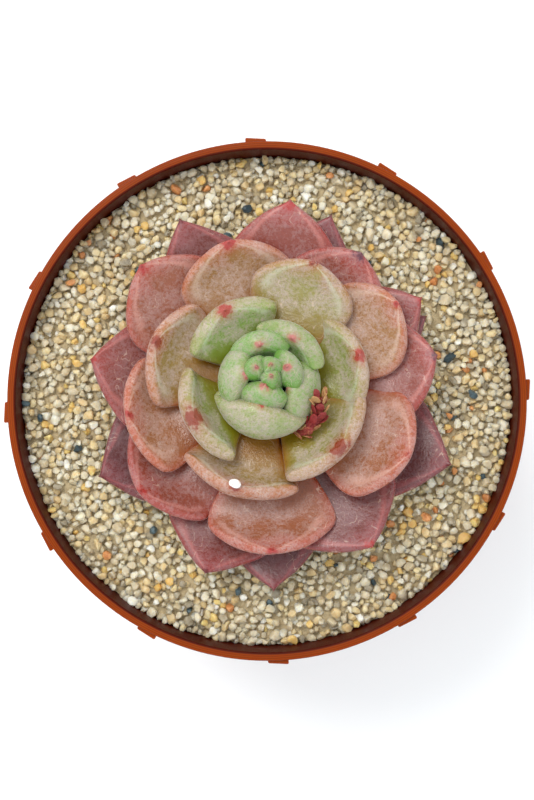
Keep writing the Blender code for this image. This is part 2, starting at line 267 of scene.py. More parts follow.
def pot_body():
    """The turned pot, from the middle of its base out, up to the lip and down inside."""
    height = pot_high.z
    outline = [
        (0.0, FOOT_HEIGHT),
        (FOOT_RADIUS - FOOT_WIDTH, FOOT_HEIGHT),
        (FOOT_RADIUS - FOOT_WIDTH, 0.0),
        (FOOT_RADIUS, 0.0),
        (BODY_INNER + WALL, COLLAR_FOOT - 2 * COLLAR_STEP),
        (COLLAR_INNER + WALL, COLLAR_FOOT),
        (LIP_INNER + WALL, height - LIP_DEPTH),
        (LIP_RADIUS, height - LIP_DEPTH),
        (LIP_RADIUS, height),
        (LIP_INNER, height),
        (COLLAR_INNER, COLLAR_FOOT),
        (BODY_INNER, COLLAR_FOOT - 2 * COLLAR_STEP),
        (FOOT_RADIUS - WALL, BASE_TOP),
        (0.0, BASE_TOP),
    ]
    bm = turned(outline, POT_STEPS)
    corners = [edge for edge in bm.edges if edge.is_manifold and edge.calc_face_angle() > CORNER_ANGLE]
    bmesh.ops.bevel(
        bm, geom=corners, offset=CORNER_BEVEL, segments=3, profile=0.5, affect="EDGES", material=-1,
        clamp_overlap=True,
    )
    return bm


def pot_lugs():
    """Wedges that ramp up along the rim and end in a step, set half into the collar's wall."""
    bm = bmesh.new()
    top = pot_high.z - LUG_DROP
    root = LIP_RADIUS - LIP_OVERHANG - WALL / 2
    nose = pot_high.x
    for index in range(LUG_COUNT):
        turn = Matrix.Rotation(LUG_TURN + index * math.tau / LUG_COUNT, 4, "Z")
        place = Matrix.Translation(((root + nose) / 2, 0.0, top - LUG_HEIGHT / 2))
        size = Matrix.Diagonal((nose - root, LUG_WIDTH, LUG_HEIGHT, 1.0))
        made = bmesh.ops.create_cube(bm, size=1.0, matrix=place @ size)
        for vert in made["verts"]:
            if vert.co.x > root + WALL and vert.co.y < 0:
                vert.co.x -= LUG_RAMP * (nose - LIP_RADIUS)
        bmesh.ops.transform(bm, matrix=turn, verts=made["verts"])
    nearest = root + WALL / 2
    outer = [edge for edge in bm.edges if min(Vector(vert.co.xy).length for vert in edge.verts) > nearest]
    bmesh.ops.bevel(bm, geom=outer, offset=LUG_BEVEL, segments=2, profile=0.5, affect="EDGES", material=-1)
    return bm


def drain_pins():
    """The core pins of the base: one in the middle and a ring round it."""
    bm = bmesh.new()
    places = [Vector((0.0, 0.0, 0.0))]
    for index in range(DRAIN_COUNT):
        angle = index * math.tau / DRAIN_COUNT
        places.append(DRAIN_CIRCLE * Vector((math.cos(angle), math.sin(angle), 0)))
    for place in places:
        bmesh.ops.create_cone(
            bm, cap_ends=True, segments=PIN_SIDES, radius1=DRAIN_RADIUS, radius2=DRAIN_RADIUS,
            depth=PIN_LENGTH, matrix=Matrix.Translation(place),
        )
    return bm


pot = set_in_place("nursery_pot", pot_body(), pot_plastic(), "pot_plastic", "pot")
joined(pot, pot_lugs(), "UNION")
joined(pot, drain_pins(), "DIFFERENCE")

# ---------------------------------------------------------------------------------------------------
# Potting mix fills the pot up to the grit: dark, damp peat with crumbs of bark. It shows only through
# the drain holes.


def potting_mix():
    paint = Paint("potting_mix", Roughness=0.95)
    crumbs = paint.noise(420.0, 5.0, 0.7)
    fibres = paint.noise(1500.0, 3.0, 0.6)
    dark = paint.mix(paint.ramp(crumbs, 0.35, 0.65), shown(34, 24, 18), shown(84, 60, 42))
    paint.colour(paint.mix(paint.ramp(fibres, 0.62, 0.72), dark, shown(140, 112, 84)))
    paint.bump(paint.maths("ADD", crumbs, fibres), 0.0015)
    return paint


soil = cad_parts["soil"]
soil.data.materials.clear()
soil.data.materials.append(potting_mix().made)

# ---------------------------------------------------------------------------------------------------
# The stem grows out of a root crown in the soil, comes up through the grit and leans to the back.
# It is corky, and ringed with the scars of leaves that have dropped.

grit_low, grit_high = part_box("grit_dressing")
stem_low, stem_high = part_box("stem")
GROUND = grit_high.z
STEM_HEIGHT = stem_high.z - GROUND
STEM_FOOT_RADIUS = 0.0046
STEM_TIP_RADIUS = 0.0010
ROOT_CROWN_RADIUS = stem_high.x
ROOT_TAPER = 0.75
LEAN = math.radians(10.0)
SCAR_SPACING = 0.0017
SCAR_DEPTH = 0.00022
STEM_RINGS = 40
STEM_SIDES = 32
CORK_GRAIN = 900.0


def stem_radius(height):
    """The stem's radius at a height above the grit."""
    return blend(STEM_FOOT_RADIUS, STEM_TIP_RADIUS, share(height, 0.0, STEM_HEIGHT))


def root_radius(height):
    """Below the grit's top the stem swells into the root crown, then tapers to its end."""
    taper = share(height, grit_low.z, stem_low.z)
    swell = share(height, GROUND, grit_low.z)
    return blend(STEM_FOOT_RADIUS, ROOT_CROWN_RADIUS, swell) * (1 - ROOT_TAPER * taper**2)


def stem_shape():
    outline = [(0.0, stem_low.z)]
    for step in range(STEM_RINGS + 1):
        height = blend(stem_low.z, stem_high.z, step / STEM_RINGS)
        scar = SCAR_DEPTH * abs(math.sin(math.pi * height / SCAR_SPACING))
        radius = root_radius(height) if height < GROUND else stem_radius(height - GROUND)
        outline.append((radius - scar, height))
    outline.append((0.0, stem_high.z))
    bm = turned(outline, STEM_SIDES)
    for vert in bm.verts:
        out = Vector((vert.co.x, vert.co.y, 0.0))
        if out.length > STEM_TIP_RADIUS / 2:
            vert.co += out.normalized() * SCAR_DEPTH * (noise.noise(vert.co * CORK_GRAIN) - 0.5)
        vert.co.y += max(0.0, vert.co.z - GROUND) * math.tan(LEAN)
    return bm


def stem_cork():
    paint = Paint("stem_cork", Roughness=0.85, Subsurface_Weight=0.05, Subsurface_Scale=0.001)
    flakes = paint.noise(800.0, 4.0, 0.65)
    paint.colour(paint.mix(flakes, shown(92, 62, 36), shown(158, 124, 78)))
    paint.bump(flakes, 0.0004)
    return paint


set_in_place("corky_stem", stem_shape(), stem_cork(), "stem_bark", "stem")

# ---------------------------------------------------------------------------------------------------
# The top-dressing is washed quartz grit, 1 to 3 mm: loose grains, rounded or broken, most of them
# clear or sandy, some milky, honey, amber or smoky, and a few of slate. They lie as they were poured,
# on a packed bed, mounded a little to the stem.

GRIT_MOUND = 0.0022
BED_DEPTH = 0.0024
BED_RINGS = 16
BED_SIDES = 96
STEM_CLEARANCE = 0.0010
CROWN_CLEARANCE = 0.0003
WALL_CLEARANCE = 0.0005
GRAIN_RADII = (0.00070, 0.00122)
LARGE_GRAIN_SHARE = 0.07
LARGE_GRAIN = 1.35
SMALL_GRAIN_LEAN = 1.2
NESTING = 0.68
WALL_NESTING = 0.6
WALL_SHARE = 0.12
POUR_TRIES = 7
POUR_MISSES = 420
FIRST_REST = 0.5
LEAST_SUNK = 0.55
CELL = 0.0026
GRAIN_SIDES = 8
GRAIN_RINGS = 5
GRAIN_FORMS = 30
GRAIN_BALL = 1.08
GRAIN_FLATS = (6, 10)
FLAT_DEPTHS = (0.50, 0.80)
GRAIN_STRETCH = ((0.85, 1.25), (0.8, 1.1), (0.7, 1.0))
GRIT_EDGE = grit_high.x
pour = random.Random(11)


def grit_top(radius):
    """The height of the grit's surface at a distance from the middle."""
    return GROUND - GRIT_MOUND * (radius / GRIT_EDGE) ** 2


def bed_shape():
    """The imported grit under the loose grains, down to the soil, with a hole for the root crown."""
    outline = []
    for step in range(BED_RINGS + 1):
        radius = blend(GRIT_EDGE, STEM_FOOT_RADIUS + STEM_CLEARANCE, step / BED_RINGS)
        outline.append((radius, grit_top(radius) - BED_DEPTH))
    outline.append((ROOT_CROWN_RADIUS + CROWN_CLEARANCE, grit_low.z))
    outline.append((GRIT_EDGE - WALL_CLEARANCE, grit_low.z))
    outline.append(outline[0])
    return turned(outline, BED_SIDES)


def bed_paint():
    paint = Paint("packed_grit", Roughness=0.9)
    dust = paint.noise(1500.0, 4.0, 0.6)
    paint.colour(paint.mix(dust, shown(184, 164, 126), shown(220, 202, 162)))
    paint.bump(dust, 0.0008)
    return paint


def grain_forms():
    """A set of worn and broken pebble shapes, one unit in radius: balls with a few flats knocked off."""
    forms = []
    for index in range(GRAIN_FORMS):
        bm = bmesh.new()
        bm.verts.layers.float.new("lot")
        bmesh.ops.create_uvsphere(bm, u_segments=GRAIN_SIDES, v_segments=GRAIN_RINGS, radius=GRAIN_BALL)
        for _ in range(pour.randint(*GRAIN_FLATS)):
            flat = Vector((pour.gauss(0, 1), pour.gauss(0, 1), pour.gauss(0, 1))).normalized()
            depth = pour.uniform(*FLAT_DEPTHS)
            for vert in bm.verts:
                vert.co -= max(0.0, vert.co.dot(flat) - depth) * flat
        stretch = tuple(pour.uniform(*extent) for extent in GRAIN_STRETCH)
        bmesh.ops.scale(bm, vec=stretch, verts=bm.verts)
        form = bpy.data.meshes.new(f"grain_form_{index}")
        bm.to_mesh(form)
        bm.free()
        forms.append(form)
    return forms


def add_grain(bm, form, place, size):
    """Adds a copy of a pebble shape, turned at random, with its own lot number."""
    axis = (pour.gauss(0, 1), pour.gauss(0, 1), pour.gauss(0, 1))
    turn = Matrix.Rotation(pour.uniform(0, math.tau), 4, axis)
    grain = form.copy()
    grain.transform(Matrix.Translation(place) @ turn @ Matrix.Scale(size, 4))
    grain.attributes["lot"].data.foreach_set("value", [pour.random()] * len(grain.vertices))
    bm.from_mesh(grain)
    bpy.data.meshes.remove(grain)


def poured_grains():
    """Where each grain rests, as (place, radius): it is let fall where it sinks deepest of a few tries."""
    cells = {}
    grains = []
    misses = 0
    while misses < POUR_MISSES:
        size = blend(*GRAIN_RADII, pour.random() ** SMALL_GRAIN_LEAN)
        if pour.random() < LARGE_GRAIN_SHARE:
            size *= LARGE_GRAIN
        best = None
        for _ in range(POUR_TRIES):
            radius = GRIT_EDGE - WALL_NESTING * size
            if pour.random() > WALL_SHARE:
                radius *= math.sqrt(pour.random())
            angle = pour.uniform(0.0, math.tau)
            spot = Vector((radius * math.cos(angle), radius * math.sin(angle)))
            rest = rest_height(spot, size, cells)
            over = rest - grit_top(radius)
            if best is None or over < best[0]:
                best = (over, spot, rest)
        over, spot, rest = best
        if over > -LEAST_SUNK * size:
            misses += 1
            continue
        place = Vector((spot.x, spot.y, rest))
        grains.append((place, size))
        cells.setdefault((int(spot.x // CELL), int(spot.y // CELL)), []).append((place, size))
    return grains


def rest_height(spot, size, cells):
    """The height at which a grain of this size would stop, let fall at a spot."""
    height = grit_top(spot.length) - BED_DEPTH + FIRST_REST * size
    column, row = int(spot.x // CELL), int(spot.y // CELL)
    for near in range(column - 1, column + 2):
        for beside in range(row - 1, row + 2):
            for place, other in cells.get((near, beside), ()):
                gap = (NESTING * (size + other)) ** 2 - (place.x - spot.x) ** 2 - (place.y - spot.y) ** 2
                if gap > 0:
                    height = max(height, place.z + math.sqrt(gap))
    return height


def quartz(name, dark, light, stain, clear):
    """Quartz of one colour. Grains differ by their lot number, and clear ones let light through."""
    paint = Paint(
        name, Roughness=0.34, Subsurface_Weight=clear, Subsurface_Radius=(1.0, 0.86, 0.66),
        Subsurface_Scale=0.0020, Specular_IOR_Level=0.5,
    )
    lot = paint.value("lot")
    cloud = paint.noise(1300.0, 3.0, 0.6)
    grain = paint.mix(lot, shown(*dark), shown(*light))
    paint.colour(paint.mix(paint.ramp(cloud, 0.42, 0.70, 0.0, 0.55), grain, shown(*stain)))
    paint.bump(paint.noise(3200.0, 3.0, 0.6), 0.00012)
    paint.roughness(paint.ramp(cloud, 0.3, 0.7, 0.22, 0.5))
    return paint


# Each kind's share of the grit, its two ends of colour, its stain, and how much light it lets through
QUARTZ = (
    ("clear", 52, (194, 180, 150), (232, 220, 194), (212, 190, 150), 0.9),
    ("milky", 11, (228, 218, 190), (250, 244, 226), (236, 218, 174), 0.7),
    ("sandy", 24, (208, 182, 136), (234, 212, 168), (218, 180, 124), 0.8),
    ("honey", 5, (214, 172, 98), (240, 210, 140), (224, 160, 82), 0.7),
    ("amber", 2, (192, 124, 72), (222, 156, 100), (170, 102, 52), 0.7),
    ("smoky", 6, (142, 134, 116), (182, 172, 148), (154, 136, 102), 0.7),
    ("slate", 1, (34, 54, 62), (84, 106, 112), (48, 48, 48), 0.1),
)

set_in_place("packed_grit_bed", bed_shape(), bed_paint(), "quartz_grit", "grit_dressing")
forms = grain_forms()
lots = {name: [] for name, *_ in QUARTZ}
for grain in poured_grains():
    kind = pour.choices([name for name, *_ in QUARTZ], [weight for _, weight, *_ in QUARTZ])[0]
    lots[kind].append(grain)
for name, _, dark, light, stain, clear in QUARTZ:
    bm = bmesh.new()
    for place, size in lots[name]:
        add_grain(bm, pour.choice(forms), place, size)
    paint = quartz(f"{name}_quartz", dark, light, stain, clear)
    set_in_place(f"{name}_quartz_grains", bm, paint, "quartz_grit", sharp=32.0)

# ---------------------------------------------------------------------------------------------------
# The rosette: thirty-seven fleshy leaves set in a spiral on the short stem. The heart leaves stand
# upright and hood over each other, the outer ones lie almost level, and each ends in a hard point.
# The skin is waxy under a pale bloom, green in the heart and redder as the leaf grows older.

# One row a leaf, from the heart outwards: the side it grows to (degrees), how far its tip reaches from
# the stem's axis (mm), the slope at its tip (degrees, 90 is upright and more curls inwards), its width (mm)
LEAVES = (
    (350, 0.9, 98, 4.4),
    (70, 2.3, 100, 5.0),
    (138, 2.7, 104, 5.2),
    (28, 4.3, 106, 7.8),
    (258, 1.6, 116, 8.6),
    (102, 6.6, 108, 11.5),
    (166, 3.6, 138, 13.0),
    (58, 9.4, 108, 15.0),
    (255, 4.6, 146, 20.0),
    (121, 16.0, 82, 19.5),
    (345, 4.2, 138, 14.5),
    (207, 15.8, 86, 20.5),
    (69, 25.0, 66, 21.0),
    (318, 19.0, 82, 22.5),
    (160, 23.2, 78, 21.5),
    (17, 18.8, 78, 20.0),
    (253, 21.0, 84, 23.5),
    (32, 30.0, 62, 20.5),
    (105, 29.2, 66, 23.0),
    (334, 30.7, 62, 23.0),
    (192, 27.8, 72, 23.5),
    (55, 32.0, 50, 21.5),
    (272, 32.0, 68, 25.5),
    (136, 34.5, 52, 23.0),
    (11, 33.8, 42, 22.0),
    (219, 32.0, 64, 23.5),
    (83, 37.5, 36, 22.0),
    (304, 36.8, 40, 24.5),
    (170, 35.2, 40, 23.0),
    (31, 35.6, 34, 20.0),
    (251, 37.4, 42, 23.5),
    (117, 38.2, 32, 20.5),
    (339, 39.0, 34, 23.0),
    (206, 37.0, 32, 23.0),
    (70, 37.5, 26, 18.0),
    (272, 38.5, 20, 20.0),
    (26, 35.4, 18, 17.0),
)
GREEN_LEAVES = 11
BLUSHED_LEAVES = 21
LEAF_AROUND = 56
LEAF_ALONG = 48
LOWEST_LEAF = 0.0045
HEART_TIP_HEIGHT = 0.0280
OUTER_TIP_HEIGHT = 0.0065
HEART_THICKNESS = 0.0054
OUTER_THICKNESS = 0.0034
HEART_INSET = 0.0010
LEAF_GAP = 0.0008
HEART_RISE = 80.0
MIDDLE_RISE = 12.0
OUTER_RISE = -14.0
HEART_SHARE = 0.30
MOST_THICK_SHARE = 0.92
LEAF_SHOULDER = 0.66
LEAF_FOOT_WIDTH = 0.30
LEAF_FOOT_ROUND = 0.08
LEAF_TIP_ROUND = 5
FOOT_FULLNESS = 0.7
FULL_FROM = 0.4
LEAF_POINT = (2.2, 1.5)
LEAF_BLUNT = (0.72, 0.98)
POINTED_FROM = (0.55, 0.85)
PLUMPNESS = 0.62
HEART_OPENS = 0.05
OPENING_PACE = 0.70
TIP_FALL_PACE = 1.15
UPPER_SHARE = (0.66, 0.40)
BUD_SHARE = 0.14
MIDRIB_GRIP = 0.20
HOOD_GRIP = 0.24
CUP = 0.9
LEAST_CUP_RADIUS = 0.0040
MOST_BEND = 1.1
LEAST_BREADTH = 0.0002
POINT_LENGTH = 0.0005
POINT_TAPER = 0.004
SWELLING = 0.00022
SWELLING_GRAIN = 170.0
DIMPLES = 0.00005
DIMPLE_GRAIN = 700.0
STEADY_FROM = 0.97


def half_width(along, age):
    """Half the leaf's width, as a share of its greatest: a narrow foot, broad shoulders, a blunt point.
    The older leaves end in a sharper corner."""
    foot = math.sqrt(max(0.0, 1 - (1 - share(along, 0.0, LEAF_FOOT_ROUND)) ** 2))
    if along < LEAF_SHOULDER:
        swell = 0.5 - 0.5 * math.cos(math.pi * along / LEAF_SHOULDER)
        return foot * blend(LEAF_FOOT_WIDTH, 1.0, swell)
    old = share(age, *POINTED_FROM)
    return (1 - share(along, LEAF_SHOULDER, 1.0) ** blend(*LEAF_POINT, old)) ** blend(*LEAF_BLUNT, old)


def fullness(along):
    """The leaf's thickness along it, as a share of its greatest: full to the shoulders, round at the ends."""
    foot = math.sqrt(max(0.0, 1 - (1 - share(along, 0.0, LEAF_FOOT_ROUND)) ** 2))
    tip = math.sqrt(max(0.0, 1 - share(along, FULL_FROM, 1.0) ** LEAF_TIP_ROUND))
    return foot * tip * blend(FOOT_FULLNESS, 1.0, share(along, 0.0, FULL_FROM))


def midrib(base, tip, rise, curl):
    """A cubic from the leaf's base to its tip as (reach, height), leaving at one slope, ending at another."""
    grip = (MIDRIB_GRIP + HOOD_GRIP * max(0.0, curl - rise)) * (tip - base).length
    points = (
        base,
        base + grip * Vector((math.cos(rise), math.sin(rise))),
        tip - grip * Vector((math.cos(curl), math.sin(curl))),
        tip,
    )

    def at(part):
        rest = 1 - part
        place = (
            rest**3 * points[0] + 3 * rest**2 * part * points[1]
            + 3 * rest * part**2 * points[2] + part**3 * points[3]
        )
        way = (
            rest**2 * (points[1] - points[0]) + 2 * rest * part * (points[2] - points[1])
            + part**2 * (points[3] - points[2])
        )
        return place, math.atan2(way.y, way.x)

    return at


def leaf_tip(age, turn, reach):
    """The tip of a leaf's midrib as (reach, height). The older ones are set level on the leaning stem."""
    height = blend(HEART_TIP_HEIGHT, OUTER_TIP_HEIGHT, age**TIP_FALL_PACE)
    drop = math.sin(math.radians(turn)) * math.tan(LEAN) * share(age, HEART_SHARE, 1.0)
    return Vector((reach / 1000, height + drop * reach / 1000))


def from_stem(turn, place):
    """Swings a place in a leaf's own upright plane to its side of the leaning stem."""
    swing = Matrix.Rotation(math.radians(turn), 3, "Z")
    tilt = Matrix.Rotation(-LEAN, 3, "X")
    return tilt @ (swing @ place) + Vector((0.0, 0.0, GROUND))


def grown_leaf(age, order, turn, reach, curl, width):
    """One leaf: a ball drawn out along its midrib, cupped round the stem and given its point."""
    base_height = blend(STEM_HEIGHT - HEART_INSET, LOWEST_LEAF, age)
    base = Vector((stem_radius(base_height) + LEAF_GAP, base_height))
    heart_rise = blend(HEART_RISE, MIDDLE_RISE, share(age, HEART_OPENS, HEART_SHARE) ** OPENING_PACE)
    rise = math.radians(blend(heart_rise, OUTER_RISE, share(age, HEART_SHARE, 1.0)))
    midline = midrib(base, leaf_tip(age, turn, reach), rise, math.radians(curl))
    thickness = min(MOST_THICK_SHARE * width / 1000, blend(HEART_THICKNESS, OUTER_THICKNESS, age))
    upper = blend(*UPPER_SHARE, share(age, 0.0, BUD_SHARE))
    bm = bmesh.new()
    marks = {name: bm.verts.layers.float.new(name) for name in ("along", "across", "face")}
    bmesh.ops.create_uvsphere(bm, u_segments=LEAF_AROUND, v_segments=LEAF_ALONG, radius=1.0)
    for vert in bm.verts:
        part = min(1.0, max(0.0, (1 + vert.co.z) / 2))
        place, slope = midline(part)
        angle = math.atan2(vert.co.y, vert.co.x)
        side = math.sin(angle) if 0 < part < 1 else 0.0
        breadth = width / 2000 * half_width(part, age)
        plump = math.copysign(abs(side) ** PLUMPNESS, side)
        depth = thickness * fullness(part) * plump * (upper if side > 0 else 1 - upper)
        wrap = CUP * math.sin(slope) / max(place.x, LEAST_CUP_RADIUS)
        wrap = max(1.0, min(wrap, MOST_BEND / max(breadth, LEAST_BREADTH)))
        bend = breadth * math.cos(angle) * wrap
        level = depth * math.cos(bend) + (1 - math.cos(bend)) / wrap
        out = Vector((math.cos(slope), 0.0, math.sin(slope)))
        up = Vector((-math.sin(slope), 0.0, math.cos(slope)))
        sideways = Vector((0.0, math.sin(bend) / wrap - depth * math.sin(bend), 0.0))
        point = POINT_LENGTH * math.exp(-(1 - part) / POINT_TAPER)
        vert.co = from_stem(turn, Vector((place.x, 0.0, place.y)) + sideways + level * up + point * out)
        vert[marks["along"]] = part
        vert[marks["across"]] = math.cos(angle)
        vert[marks["face"]] = side
    bm.normal_update()
    for vert in bm.verts:
        swell = SWELLING * noise.noise(vert.co * SWELLING_GRAIN + Vector((order, 0, 0)))
        swell += DIMPLES * noise.noise(vert.co * DIMPLE_GRAIN)
        vert.co += swell * share(vert[marks["along"]], 1.0, STEADY_FROM) * vert.normal
    return bm


# The leaf's colours from the heart out to the oldest leaf, at these ages
AGES = (0.0, 0.14, 0.28, 0.42, 0.55, 0.72, 1.0)
# The foot's colours are darker and more saturated: partly the leaf's own greener base, partly painted shade
# deep in the rosette
FOOT = (
    (52, 104, 22), (70, 114, 20), (110, 110, 16), (136, 94, 8), (134, 68, 8), (110, 38, 12),
    (74, 22, 18),
)
FRONT = (
    (84, 146, 46), (104, 160, 62), (132, 154, 74), (146, 126, 60), (152, 96, 50), (132, 58, 44),
    (88, 40, 40),
)
BACK = (
    (92, 142, 48), (108, 154, 66), (142, 138, 80), (152, 96, 44), (158, 80, 38), (138, 46, 34),
    (94, 28, 30),
)
BAND = (
    (106, 154, 62), (134, 154, 84), (154, 112, 62), (164, 84, 34), (176, 74, 38), (160, 42, 32),
    (126, 22, 26),
)
BLOOM = (
    (152, 140, 124), (168, 156, 144), (182, 164, 154), (184, 164, 154), (188, 158, 148), (160, 122, 120),
    (112, 82, 86),
)
# Painted highlight: the pale line where each leaf's edge turns over, by age
TURNED_EDGE_HIGHLIGHT = (
    (150, 184, 120), (164, 188, 140), (184, 190, 158), (192, 186, 164), (206, 168, 150), (190, 120, 112),
    (150, 72, 74),
)
BLOOM_COVER = (0.80, 0.85, 0.85, 0.80, 0.74, 0.70, 0.70)
BARE_MARGIN = (0.95, 0.75, 0.15, 0.15, 0.25, 0.30, 0.30)
BAND_COVER = (0.20, 0.25, 0.40, 0.85, 0.85, 0.85, 0.90)

# How much older or younger than its place a leaf's colour looks, by the leaf's number
RIPER = {
    11: -0.10, 13: 0.04, 15: 0.05, 16: -0.10, 18: 0.04, 20: 0.06, 22: 0.12, 25: 0.05, 28: 0.12, 33: 0.08,
    34: 0.10,
}

# The mark at each leaf's point, from the heart outwards: its radius (mm) and its colour
MARKS = (
    (0.6, "pink"), (0.6, "pink"), (0.7, "pink"), (0.9, "pink"), (1.1, "pink"), (1.1, "pink"),
    (1.4, "pink"), (1.0, "pink"), (1.3, "red"), (1.7, "red"), (1.0, "pink"), (2.5, "rust"),
    (0.9, "rust"), (2.2, "rust"), (1.3, "rust"), (1.6, "red"), (1.3, "rust"), (0.7, "red"),
    (1.6, "red"), (0.8, "red"), (1.1, "red"), (1.6, "purple"), (1.1, "red"), (1.3, "red"),
    (1.2, "purple"), (1.1, "red"), (1.5, "red"), (1.2, "red"), (0.9, "red"), (1.0, "red"),
    (1.0, "wine"), (1.0, "wine"), (1.0, "wine"), (1.1, "wine"), (0.9, "wine"), (0.9, "wine"),
    (0.9, "wine"),
)
MARK_COLOURS = {
    "pink": (180, 98, 98),
    "red": (160, 44, 42),
    "rust": (132, 46, 30),
    "purple": (78, 38, 56),
    "wine": (96, 10, 22),
}

# Where each trait of the skin starts and where it is full: along the leaf from its foot (0) to its
# point (1), on a face from its rim (0) to its middle (1), or by the pattern that breaks it up
FRONT_STARTS = (0.30, 0.72)
BACK_STARTS = (0.20, 0.55)
FRONT_TO_BACK = (0.15, -0.30)
BAND_ON_RIM = (0.80, 0.10)
BAND_AT_TIP = (0.82, 0.97)
BAND_BREAKS = (0.30, 0.62, 0.55, 1.0)
BARE_SIDES = (0.50, 0.98)
BARE_UP_TO = (0.96, 0.80)
BLOOM_STARTS = (0.42, 0.62)
BLOOM_PATCHES = (0.46, 0.70, 0.22, 1.0)
BLOOM_RUBBED = (0.40, 0.58, 0.42, 1.0)
TURNED_EDGE = 0.62
TURNED_EDGE_WIDTH = (0.16, 0.02)
TURNED_EDGE_STARTS = (0.55, 0.75, 0.0, 0.55)
FRECKLES = (0.60, 0.70)
# Pale streaks: partly scratches in the skin, partly painted highlight along the ridges
SCRATCH_AND_GLINT_WIDTH = (0.010, 0.003)
SCRATCH_AND_GLINT_COVER = (0.47, 0.58, 0.0, 0.45)
MARK_RAGGED = 3.6
HARD_POINT = (0.00050, 0.00025)


def at_age(rows, age):
    """The row of colours or numbers at an age, blended from its neighbours."""
    for index in range(len(AGES) - 1):
        if age <= AGES[index + 1]:
            part = share(age, AGES[index], AGES[index + 1])
            first, second = rows[index], rows[index + 1]
            if isinstance(first, tuple):
                return shown(*[blend(low, high, part) for low, high in zip(first, second)])
            return blend(first, second, part)


def leaf_flesh(paint, age, reach, level, face, fine):
    """The flesh's colour: its foot, its front and back, and the redder band round its rim."""
    # Towards the foot the flesh darkens, partly its own colour and partly painted shade deep in the rosette
    front = paint.mix(paint.ramp(reach, *FRONT_STARTS), at_age(FOOT, age), at_age(FRONT, age))
    back = paint.mix(paint.ramp(reach, *BACK_STARTS), at_age(FOOT, age), at_age(BACK, age))
    flesh = paint.mix(paint.ramp(face, *FRONT_TO_BACK), front, back)
    near = paint.maths("MAXIMUM", paint.ramp(level, *BAND_ON_RIM), paint.ramp(reach, *BAND_AT_TIP))
    band = paint.product(near, paint.ramp(fine, *BAND_BREAKS), at_age(BAND_COVER, age))
    return paint.mix(band, flesh, at_age(BAND, age))


def bloom_cover(paint, age, reach, broad, fine, powder):
    """How thick the bloom lies: patchy, rubbed off in specks, and thin along the leaf's sides."""
    sides = paint.maths("ABSOLUTE", paint.value("across"))
    bare = paint.product(
        paint.ramp(sides, *BARE_SIDES, 0.0, at_age(BARE_MARGIN, age)),
        paint.ramp(paint.value("along"), *BARE_UP_TO),
    )
    patch = paint.maths("ADD", paint.product(broad, 0.6), paint.product(fine, 0.6))
    rubbed = paint.maths("ADD", paint.product(powder, 0.7), paint.product(fine, 0.3))
    return paint.product(
        paint.ramp(reach, *BLOOM_STARTS),
        paint.maths("SUBTRACT", 1.0, bare),
        paint.ramp(patch, *BLOOM_PATCHES),
        at_age(BLOOM_COVER, age),
        paint.ramp(rubbed, *BLOOM_RUBBED),
    )


def marked_point(paint, skin, age, tip, mark, mark_colour, fine):
    """The ragged blush and spot round the leaf's point, and the brown point itself."""
    shape = paint.maths("ADD", paint.product(fine, 0.5), paint.product(paint.noise(640.0, 2.0), 0.5))
    ragged = paint.product(paint.maths("SUBTRACT", shape, 0.5), mark * MARK_RAGGED)
    distance = paint.maths("ADD", paint.away(tip), ragged)
    colour = shown(*mark_colour)
    faded = [blend(first, second, 0.4) for first, second in zip(colour, at_age(BAND, age))]
    blush = paint.product(paint.ramp(distance, mark * 2.0, mark * 0.6), 0.45)
    skin = paint.mix(blush, skin, faded)
    spot = paint.product(paint.ramp(distance, mark * 1.05, mark * 0.55), 0.85)
    skin = paint.mix(spot, skin, colour)
    return paint.mix(paint.product(paint.ramp(paint.away(tip), *HARD_POINT), 0.5), skin, shown(92, 34, 26))


